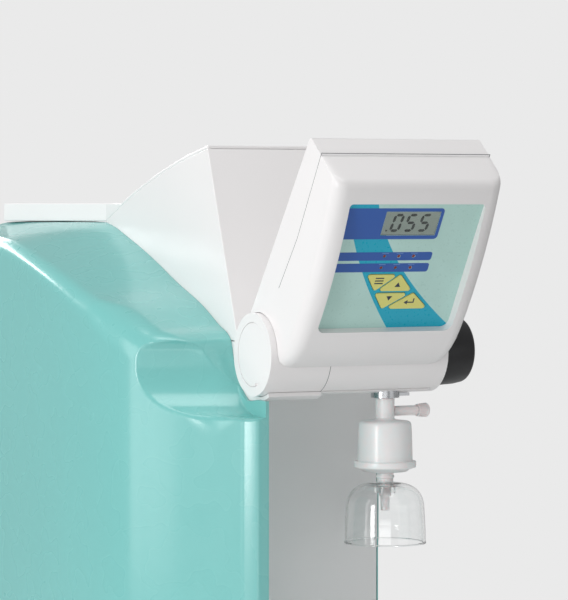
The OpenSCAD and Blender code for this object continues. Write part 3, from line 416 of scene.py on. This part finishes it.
def resample(points, count, power=1.0):
    """The same path as a fixed number of points, closer together at its start for a power over 1."""
    points = np.asarray(points, float)
    along = np.concatenate([[0], np.cumsum(np.hypot(*np.diff(points, axis=0).T))])
    if along[-1] < 1e-9:
        return np.repeat(points[:1], count, 0)
    want = np.linspace(0, 1, count) ** power * along[-1]
    return np.stack([np.interp(want, along, points[:, 0]), np.interp(want, along, points[:, 1])], 1)


def outer_section(y, reach):
    """The uncut outside of a cover at y, from the column over the top and down to the foot."""
    w, r = float(reach(y)), float(shoulder_r(y))
    r = min(r, 0.8 * w)
    line, fall = float(seam(y)), 0.0007 * max(y, 0)
    xs = np.linspace(0, w - r, 24)
    top = np.minimum(COVER_TOP, line - fall * xs)
    blend = np.clip(0.5 + 0.5 * (line - fall * xs - COVER_TOP) / 4, 0, 1)
    top = top - 4 * blend * (1 - blend) / 2
    turn = np.radians(np.linspace(90, 0, 40))[1:]
    end = top[-1] - r
    down = np.arange(end - 1, COVER_FOOT, -1.0)
    shoulder = np.stack([w - r + r * np.cos(turn), end + r * np.sin(turn)], 1)
    wall = np.stack([np.full(len(down), w), down], 1)
    return np.concatenate([np.stack([xs, top], 1), shoulder, wall, [[w, COVER_FOOT]]])


def soften(path, corner, size, steps=5):
    """A path whose corner point is replaced by a small round."""
    points = np.asarray(path, float)
    before = np.cumsum(np.hypot(*np.diff(points[corner::-1], axis=0).T))
    after = np.cumsum(np.hypot(*np.diff(points[corner:], axis=0).T))
    a = int(np.searchsorted(before, size)) + 1
    b = int(np.searchsorted(after, size)) + 1
    if a > corner or corner + b >= len(points):
        return points, corner, corner
    p, q, s = points[corner - a], points[corner], points[corner + b]
    t = np.linspace(0, 1, steps)[:, None]
    curve = (1 - t) ** 2 * p + 2 * t * (1 - t) * q + t * t * s
    softened = np.concatenate([points[:corner - a], curve, points[corner + b + 1:]])
    return softened, corner - a, corner - a + steps - 1


def scooped_section(y, reach, last):
    """The section at y in three runs: over the scoop, inside it, and below it."""
    outer = outer_section(y, reach)
    inside = [(SCOOP_LOW < z < SCOOP_HIGH) and x > scoop_x(y, z) for x, z in outer]
    if not any(inside):
        first = int(np.argmin(np.abs(outer[:, 1] - last[0])))
        second = max(first + 1, int(np.argmin(np.abs(outer[:, 1] - last[1]))))
        return outer[:first + 1], outer[first:second + 1], outer[second:], last
    first, second = inside.index(True), len(inside) - 1 - inside[::-1].index(True)
    above = outer[first - 1][1] > SCOOP_HIGH
    z_in = SCOOP_HIGH if above else outer[first][1]
    entry = [(outer[first][0], SCOOP_HIGH)] if above else [(scoop_x(y, z_in), z_in)]
    z_out = max(SCOOP_LOW, outer[min(second + 1, len(outer) - 1)][1])
    levels = np.linspace(z_in, z_out, 160)
    inner = entry + [(min(scoop_x(y, z), outer[first][0] if z > z_in - 0.01 else 1e9), z) for z in levels]
    limit = np.interp(-levels, -outer[:, 1], outer[:, 0])
    inner = [entry[0]] + [(min(x, cap), z) for (x, z), cap in zip(inner[1:], limit)]
    exit_point = (float(np.interp(-z_out, -outer[:, 1], outer[:, 0])), z_out)
    inner.append(exit_point)
    head = [tuple(p) for p in outer[:first] if above or p[0] <= entry[0][0] + 1e-6]
    head = np.array(head + [entry[0]])
    tail = np.array([exit_point] + [tuple(p) for p in outer[second + 1:] if p[1] < z_out - 1e-6])
    path = np.concatenate([head, inner[1:-1], tail])
    path, a0, _ = soften(path, len(head) - 1, CEILING_RIM)
    corner = int(np.argmin(np.hypot(path[:, 0] - exit_point[0], path[:, 1] - exit_point[1])))
    path, _, b1 = soften(path, corner, FLOOR_RIM)
    return path[:a0 + 1], path[a0:b1 + 1], path[b1:], (float(z_in), float(z_out))


def cover(name, reach, side, rows, body, node, scooped):
    """A moulded side cover: one skin over its top, shoulder and side, closed at the nose."""
    grid, last = [], (SCOOP_HIGH, SCOOP_LOW)
    for y in rows:
        if scooped:
            parts = scooped_section(y, reach, last)
            last = parts[3]
            section = np.concatenate([resample(parts[0], 40)[:-1], resample(parts[1], 60)[:-1],
                                      resample(parts[2], 40, 1.8)])
        else:
            section = resample(outer_section(y, reach), 90)
        grid.append(np.stack([section[:, 0], np.full(len(section), y), section[:, 1]], 1))
    front = grid[0].copy()
    front[:, 0] = np.minimum(front[:, 0], 0)
    grid = np.array([front] + grid)
    grid[..., 0] = side * (COLUMN_SIDE + grid[..., 0])
    m, n = grid.shape[:2]
    faces = [(i * n + j, i * n + j + 1, (i + 1) * n + j + 1, (i + 1) * n + j)
             for i in range(m - 1) for j in range(n - 1)]
    obj = piece(name, grid.reshape(-1, 3), faces, COLUMN, teal_gloss, body, (node,), 40)
    modify(obj, "SOLIDIFY", thickness=(COVER_WALL - 0.4) * MM, offset=-1.0)
    apply_modifiers(obj)
    obj.data.set_sharp_from_angle(angle=math.radians(40))
    return obj


left_rows = np.concatenate([np.linspace(NOSE_Y, -6, 17), np.linspace(-5, 70, 61), np.linspace(72, 130, 24),
                            np.linspace(136, 300, 22), np.linspace(315, REAR_Y, 5)])
right_rows = np.concatenate([np.linspace(BAY_Y, 200, 40), np.linspace(202, 250, 22),
                             np.linspace(258, REAR_Y, 14)])
cover("left_cover_moulding", left_reach, -1, left_rows, "left_side", "left_cover", True)
cover("right_cover_moulding", right_reach, 1, right_rows, "right_side", "right_cover", False)
web_ys = np.linspace(NOSE_Y + 0.5, OPEN_Y, 60)
web = [(y, float(seam(y)) - 0.6) for y in web_ys] + [(OPEN_Y, COVER_FOOT), (NOSE_Y + 0.5, COVER_FOOT)]
side_view = COLUMN @ Matrix.Rotation(math.radians(90), 4, "Z") @ Matrix.Rotation(math.radians(90), 4, "X")
plate("left_cover_web", [web], -COLUMN_SIDE - COVER_WALL + 0.2, -COLUMN_SIDE - 0.2, side_view, teal_gloss,
      "left_side")

# ---------------------------------------------------------------- white shells, barrel and chassis
for node, body, edge in (("head_rear_shell", "head", 0.5), ("head_bezel", "head", 0.7),
                         ("fairing", "chassis", 0.6), ("top_cover", "chassis", 0.8),
                         ("hinge_cradle", "chassis", 0.4), ("valve_housing", "chassis", 0.5),
                         ("knuckle_housing", "chassis", 0.5), ("barrel_end_cap", "chassis", 0.5)):
    refined(node, node + "_moulding", white_gloss, body, edge)
for node, edge in (("front_panel", 0.5), ("rear_panel", 0.4)):
    refined(node, node + "_folded", grey_paint, "chassis", edge)

# The thin shadow lines where the mouldings meet.
HEAD_W, HEAD_L, BARREL_R, SEAM_X = 140.0, 178.3, 31.0, -25.0
LINE, LINE_SUNK, LINE_PROUD = 0.22, 0.3, 0.04
head_line = [(2.9, 60), (1.2, 107), (7.3, HEAD_L + LINE_PROUD)]
for side in (-1, 1):
    verts = [(side * (HEAD_W / 2 + out), y + way * LINE, z) for y, z in head_line
             for out in (-LINE_SUNK, LINE_PROUD) for way in (-1, 1)]
    faces = [(4 * i + a, 4 * i + b, 4 * i + 4 + b, 4 * i + 4 + a) for i in range(len(head_line) - 1)
             for a, b in ((0, 1), (1, 3), (3, 2), (2, 0))] + [(0, 1, 3, 2), (8, 9, 11, 10)]
    piece(f"head_seam_{side + 1}", verts, faces, HEAD, seam_dark, "head")
top_y = head_line[-1][0]
plate("head_seam_top", [rectangle(-HEAD_W / 2, top_y - LINE, HEAD_W / 2, top_y + LINE)], HEAD_L - LINE_SUNK,
      HEAD_L + LINE_PROUD, HEAD, seam_dark, "head")
lathe("knuckle_seam", [(BARREL_R - LINE_SUNK, -LINE), (BARREL_R + 0.03, -LINE), (BARREL_R + 0.03, LINE),
                       (BARREL_R - LINE_SUNK, LINE)],
      COLUMN @ Matrix.Translation((SEAM_X, 0, 0)) @ Matrix.Rotation(math.radians(90), 4, "Y"), seam_dark,
      "chassis")

# ---------------------------------------------------------------- dispense knob
KNOB_X, KNOB_L, KNOB_R, STEM_R = 75.3, 28.0, 27.0, 5.0
knob_axis = COLUMN @ Matrix.Translation((KNOB_X, 0, 0)) @ Matrix.Rotation(math.radians(90), 4, "Y")
lathe("dispense_knob_turned",
      [(STEM_R + 0.02, 0)] + arc(KNOB_R - 0.8, 0.8, 0.8, -90, 0, 4)
      + [(KNOB_R - 1.0, KNOB_L - 9)] + arc(KNOB_R - 2 - 3.5, KNOB_L - 3.5, 3.5, 0, 90, 8)
      + [(KNOB_R - 9, KNOB_L - 0.1), (KNOB_R - 9.6, KNOB_L - 0.6), (0.6, KNOB_L - 0.6), (0.6, KNOB_L - 8),
         (STEM_R + 0.02, KNOB_L - 8)],
      knob_axis, black_satin, "knob", ("dispense_knob",), 128)

# ---------------------------------------------------------------- filter and bell
def filter_outline():
    """The filter's outside from its spigot to its tip, then back up its bore."""
    top = [(1.5, -28.5), (4.0, -28.5), (4.0, -34.4), (6.9, -35.1), (7.2, -35.6), (7.0, -50.2)]
    shoulder = [(8.4, -51.6)] + arc(16.9, -55.5, 3.0, 90, 12, 6)
    wall = [(20.3, -60), (20.85, -82.6), (22.9, -82.8)] + arc(22.9, -83.4, 0.6, 90, 0, 3)
    weld = arc(22.3, -86.6, 1.2, 0, -70, 4) + [(19.5, -88.6), (16.6, -90.6), (7.6, -91.8), (6.3, -92.4)]
    nipple = [(6.3, -93.6), (7.0, -94.2), (7.0, -95.2), (6.2, -95.8), (6.2, -98.8), (4.75, -99.1),
              (4.45, -109), (3.6, -109.2), (3.3, -119.9), (3.0, -120.3)]
    return top + shoulder + wall + weld + nipple + [(1.5, -120.3)]


lathe("filter_body_moulding", filter_outline(), OUTLET, milky, "filter", ("filter_body",),
      96)
nozzle_axis = OUTLET @ Matrix.Translation((0, 0, nozzle_z)) @ Matrix.Rotation(math.radians(90), 4, "Y")
lathe("vent_nozzle", [(1.5, 6.6), (3.75, 6.6), (3.75, 27.2), (3.3, 27.5), (3.2, 33.3), (1.5, 33.5)],
      nozzle_axis, milky, "filter", steps=48)
lathe("vent_cap_moulding",
      [(3.8, 27.5), (4.6, 27.5), (4.8, 28.4), (5.0, 30.5)] + arc(2.6, 34.2, 3.1, 25, 90, 6)
      + [(0.3, 37.3), (0.3, 34.2), (3.8, 34.0)],
      nozzle_axis, milky, "cap", ("vent_cap",), 48)


def bell_outline(inset, r=30.65, top=-99.4, low=-144.9):
    """The bell's outside, or its inside at a wall's inset, from the hub down to the rim."""
    p0, p1, p2 = (11.0, top), (r - 1.5, top - 1.5), (r - 1.0, top - 19)
    dome = [tuple((1 - t) ** 2 * a + 2 * t * (1 - t) * b + t * t * c for a, b, c in zip(p0, p1, p2))
            for t in np.linspace(0, 1, 12)]
    inner = [(x - inset, z - inset * (1 - i / 11)) for i, (x, z) in enumerate(dome)]
    return inner + [(r - inset, low + 10)]


BELL_WALL = 1.6
lathe("filling_bell_moulding",
      [(4.8, -99.4), (11.0, -99.4)] + bell_outline(0)[1:]
      + [(30.65, -143.6), (31.05, -144.2), (30.8, -144.9), (29.2, -144.9)]
      + bell_outline(BELL_WALL)[::-1] + [(8.0, -101.4), (8.0, -106.4), (4.8, -106.4)],
      OUTLET, bell_clear, "bell", ("filling_bell",), 128)

# ---------------------------------------------------------------- display and keypad
LCD_U, LCD_V, LCD_W, LCD_H = 33.0, 7.4, 45.0, 19.9
LAMPS = [(u, v) for u in (41.6, 53.5, 65.8) for v in (45, 54.8)]


def axis_dot(s, row):
    """The dot product of the object's coordinates with a matrix row."""
    split = s.nodes.new("ShaderNodeSeparateXYZ")
    s.links.new(s.coordinates, split.inputs["Vector"])
    total = s.math("MULTIPLY", split.outputs["X"], row[0])
    total = s.math("ADD", total, s.math("MULTIPLY", split.outputs["Y"], row[1]))
    return s.math("ADD", total, s.math("MULTIPLY", split.outputs["Z"], row[2]))


def keypad_material():
    """The printed film: pale aqua with a cyan sweep that widens towards its foot."""
    s = Shader("keypad_film")
    inverse = PAD.inverted()
    u = s.math("ADD", s.math("MULTIPLY", axis_dot(s, inverse[0]), 1.0), inverse[0][3])
    v = s.math("MULTIPLY", s.math("ADD", axis_dot(s, inverse[1]), inverse[1][3]), -1.0)
    v2 = s.math("MULTIPLY", v, v)
    left = s.math("ADD", s.math("MULTIPLY", v, 0.33), s.math("MULTIPLY", v2, 0.00225))
    right = s.math("ADD", s.math("MULTIPLY_ADD", v, 0.40, 24.0), s.math("MULTIPLY", v2, 0.0042))
    inside = s.math("MULTIPLY", s.span(s.math("SUBTRACT", u, left), -0.06, 0.06, 0, 1),
                    s.span(s.math("SUBTRACT", right, u), -0.06, 0.06, 0, 1))
    film = s.mix(s.span(s.noise(40.0, 2.0), 0.3, 0.7, 0, 1), rgb(184, 220, 212), rgb(190, 226, 219))
    s.set(Base_Color=s.mix(inside, film, rgb(20, 172, 200)))
    s.set(Roughness=s.span(s.noise(500.0, 3.0), 0.3, 0.7, 0.26, 0.34))
    s.bump(s.noise(2600.0, 2.0), 0.000006)
    return s.material


keypad_film = keypad_material()
blue_print = moulded("blue_print", rgb(46, 92, 172), 0.32, vary=0.03)
pale_print = moulded("pale_print", rgb(112, 150, 204), 0.35, vary=0.02)
yellow_film = moulded("yellow_film", rgb(226, 222, 128), 0.34, vary=0.03)
ink = moulded("dark_ink", rgb(38, 52, 74), 0.4, vary=0.03)
lcd_glass = moulded("lcd_glass", rgb(190, 194, 190), 0.3, vary=0.04, coat=0.3)
lcd_segment = moulded("lcd_segment", rgb(22, 24, 26), 0.4, vary=0.03)


def down(points):
    """Points given as u and v on the sheet, as x and y of PAD."""
    return [(u, -v) for u, v in points]


def print_layer(name, loops, material, low=0.01, high=0.06):
    return plate(name, [down(loop) for loop in loops], low, high, PAD, material, "head")


def ring_loop(u, v, r, steps=20):
    return [(u + r * math.cos(2 * math.pi * i / steps), v + r * math.sin(2 * math.pi * i / steps))
            for i in range(steps)]


def display_rectangle(grow, radius=0.0):
    """The display window's outline, larger or smaller all round."""
    return rectangle(LCD_U - grow, LCD_V - grow, LCD_U + LCD_W + grow, LCD_V + LCD_H + grow, radius)


print_layer("lcd_panel_print", [rounded([(0.6, 4.5, 0), (80.7, 4.5, 3), (80.7, 30.5, 3), (0.6, 30.5, 0)]),
                                display_rectangle(0.1)], blue_print)
for index, (v0, v1, lamp_v) in enumerate(((41.5, 48.6, 45), (51, 58.4, 54.8))):
    print_layer(f"status_bar_print_{index}",
                [rounded([(0.6, v0, 0), (81, v0, 2), (81, v1, 2), (0.6, v1, 0)])]
                + [ring_loop(u, v, 1.45) for u, v in LAMPS if v == lamp_v], blue_print)
    for tick, u in enumerate((39, 51, 63)):
        print_layer(f"status_tick_{index}_{tick}", [rectangle(u, v0 + 0.7, u + 5.5, v0 + 1.2)], pale_print,
                    0.07, 0.1)


def arrow(u, v, size, up):
    tip = -size if up else size
    return [(u, v + tip), (u + size, v - tip * 0.6), (u - size, v - tip * 0.6)]


SYMBOLS = {"menu": [rectangle(39.4, 63 + 2.2 * i, 46.4, 64 + 2.2 * i) for i in range(3)],
           "up": [arrow(59.4, 69.6, 2.4, True)], "down": [arrow(55.2, 80.4, 2.4, False)],
           "enter": [[(76, 81.2), (77, 81.2), (77, 85), (71.6, 85), (71.6, 86.4), (68.6, 84.5),
                      (71.6, 82.6), (71.6, 84), (76, 84)]]}
KEY_TOP = 0.6
for key, loops in SYMBOLS.items():
    for index, loop in enumerate(loops):
        plate(f"{key}_symbol_{index}", [down(loop)], KEY_TOP, KEY_TOP + 0.04, PAD, ink, f"{key}_key")

# The display: a cell close behind the window, its digits, and a thin clear lens in front.
CELL_FRONT = -1.3
plate("lcd_cell", [down(display_rectangle(-0.3))], -5.2, CELL_FRONT, PAD, lcd_glass, "head")
plate("lcd_lens", [down(display_rectangle(-0.1, 0.6))], -0.9, -0.1, PAD, window_clear, "head",
      ("lcd_window",), 0.1)

DIGIT_W, DIGIT_H, BAR, SLANT = 6.4, 13.0, 2.2, 0.12
SEGMENTS = {"0": "abcdef", "5": "afgcd"}


def segment_loops(character, u, v):
    """The bars of one slanted seven-segment digit whose top left corner is at (u, v)."""
    w, h = DIGIT_W, DIGIT_H
    ends = {"a": ((0, 0), (w, 0)), "b": ((w, 0), (w, h / 2)), "c": ((w, h / 2), (w, h)),
            "d": ((0, h), (w, h)), "e": ((0, h / 2), (0, h)), "f": ((0, 0), (0, h / 2)),
            "g": ((0, h / 2), (w, h / 2))}
    loops = []
    for bar in SEGMENTS[character]:
        a, b = (Vector(p) for p in ends[bar])
        along = (b - a).normalized()
        across = Vector((-along.y, along.x)) * BAR / 2
        a, b = a + along * 0.35, b - along * 0.35
        points = [a, a + along * BAR / 2 + across, b - along * BAR / 2 + across, b,
                  b - along * BAR / 2 - across, a + along * BAR / 2 - across]
        loops.append([(u + p.x + SLANT * (DIGIT_H - p.y), v + p.y) for p in points])
    return loops


def display_mark(name, loop):
    """One dark mark of the display, on the cell's front."""
    plate(name, [down(loop)], CELL_FRONT, CELL_FRONT + 0.08, PAD, lcd_segment, "head")


DIGITS_U, DIGITS_V, DIGIT_PITCH = LCD_U + 7.5, LCD_V + 3.4, 11.4
for index, character in enumerate("055"):
    for bar, loop in enumerate(segment_loops(character, DIGITS_U + DIGIT_PITCH * index, DIGITS_V)):
        display_mark(f"digit_{index}_{bar}", loop)
display_mark("digit_point", ring_loop(DIGITS_U - 3.2, DIGITS_V + DIGIT_H, 0.8, 12))

# ---------------------------------------------------------------- finishes of the nodes that stay
FINISH = {
    sheet_steel: ("base_plate", "frame_plates", "tank_shelf", "power_supply"),
    bright_steel: ("pivot_pin", "trunnion", "valve_stem", "head_screws", "level_rod", "panel_screws",
                   "pump_head", "uv_housing", "outlet_collar"),
    black_rubber: ("feet",), black_satin: ("power_inlet", "pump_motor"), black_cable: ("head_cable",),
    grey_plastic: ("dispense_valve", "tank_lid", "solenoid_valves", "left_manifold", "right_manifold",
                   "conductivity_cell", "water_fittings", "osmosis_module"),
    keypad_film: ("keypad_sheet",), yellow_film: ("key_menu", "key_up", "key_down", "key_enter"),
    lcd_glass: ("lcd_module",), solder_mask: ("display_board", "control_board"),
    lamp_lens: ("status_lamps",),
    membrane: ("filter_element",),
    white_matt: ("tank", "tank_vent_filter", "pretreatment_cartridge", "polishing_cartridge", "uv_lamp"),
    orange_foam: ("level_float",), tube_clear: ("tubing",), red_rocker: ("rocker_switch",),
}
for material, names in FINISH.items():
    for name in names:
        data = frame["nodes"][name].data
        data.materials.clear()
        data.materials.append(material)

# ---------------------------------------------------------------- stage, light and camera
VIEW_AZIMUTH = 27.3
look = Vector((math.sin(math.radians(VIEW_AZIMUTH)), math.cos(math.radians(VIEW_AZIMUTH)), 0))
across = Vector((look.y, -look.x, 0))
cap_face = hinge + Vector((-0.075, 0, 0))
camera = bpy.data.objects.new("camera", bpy.data.cameras.new("camera"))
camera.data.lens = 186.0
camera.data.sensor_width = 36.0
camera.data.shift_y = -0.158
camera.data.clip_end = 30
camera.location = cap_face - look * 2.296 + across * 0.0235 + Vector((0, 0, 0.1107))
camera.rotation_euler = (math.radians(90), 0, -math.radians(VIEW_AZIMUTH))
bpy.context.scene.collection.objects.link(camera)
bpy.context.scene.camera = camera


def softbox(name, place, target, size, power, colour=(1, 1, 1)):
    lamp = bpy.data.lights.new(name, "AREA")
    lamp.shape = "RECTANGLE"
    lamp.size, lamp.size_y = size
    lamp.energy = power
    lamp.color = colour
    obj = bpy.data.objects.new(name, lamp)
    obj.location = place
    obj.rotation_euler = (Vector(target) - Vector(place)).to_track_quat("-Z", "Y").to_euler()
    bpy.context.scene.collection.objects.link(obj)


middle = Vector((0, -0.05, 0.33))
for name, direction, distance, size, power in (
        ("left_light", (-1.0, 0.10, 0.22), 2.0, (1.1, 1.6), 10.5),
        ("corner_light", (-0.888, -0.458, 0.07), 1.6, (0.34, 0.62), 7),
        ("top_light", (-0.10, -0.20, 1.0), 1.8, (1.4, 1.2), 14),
        ("ridge_light", (-0.22, 0.86, 0.42), 1.8, (1.4, 0.22), 9),
        ("front_light", (0.45, -1.0, 0.0), 2.6, (1.4, 1.0), 2),
        ("low_light", (-0.50, -1.0, -0.14), 1.7, (1.0, 0.3), 1.5)):
    softbox(name, middle + Vector(direction).normalized() * distance, middle, size, power)


def stage_floor():
    """A pale round floor that fades out well short of the horizon."""
    count, radius = 96, 1.3
    verts = [(radius * math.cos(2 * math.pi * i / count), radius * math.sin(2 * math.pi * i / count), 0)
             for i in range(count)]
    mesh = bpy.data.meshes.new("floor")
    mesh.from_pydata(verts, [], [tuple(range(count))])
    floor = bpy.data.objects.new("floor", mesh)
    bpy.context.scene.collection.objects.link(floor)
    s = Shader("floor")
    s.set(Base_Color=rgb(232, 232, 232), Roughness=0.7)
    split = s.nodes.new("ShaderNodeVectorMath")
    split.operation = "LENGTH"
    s.links.new(s.coordinates, split.inputs[0])
    s.set(Alpha=s.span(split.outputs["Value"], 0.75, radius - 0.02, 1, 0, True))
    mesh.materials.append(s.material)


stage_floor()
world = bpy.data.worlds.new("studio")
bpy.context.scene.world = world
world.use_nodes = True
tree = world.node_tree
light_path = tree.nodes.new("ShaderNodeLightPath")
shown = tree.nodes.new("ShaderNodeBackground")
shown.inputs["Color"].default_value = rgb(234, 234, 234)
lit = tree.nodes["Background"]
lit.inputs["Color"].default_value = (1, 1, 1, 1)
lit.inputs["Strength"].default_value = 0.37
seen = tree.nodes.new("ShaderNodeMath")
seen.operation = "MAXIMUM"
tree.links.new(light_path.outputs["Is Camera Ray"], seen.inputs[0])
tree.links.new(light_path.outputs["Is Transmission Ray"], seen.inputs[1])
mixer = tree.nodes.new("ShaderNodeMixShader")
tree.links.new(seen.outputs["Value"], mixer.inputs["Fac"])
tree.links.new(lit.outputs["Background"], mixer.inputs[1])
tree.links.new(shown.outputs["Background"], mixer.inputs[2])
tree.links.new(mixer.outputs["Shader"], tree.nodes["World Output"].inputs["Surface"])
bpy.context.scene.view_settings.view_transform = "Standard"
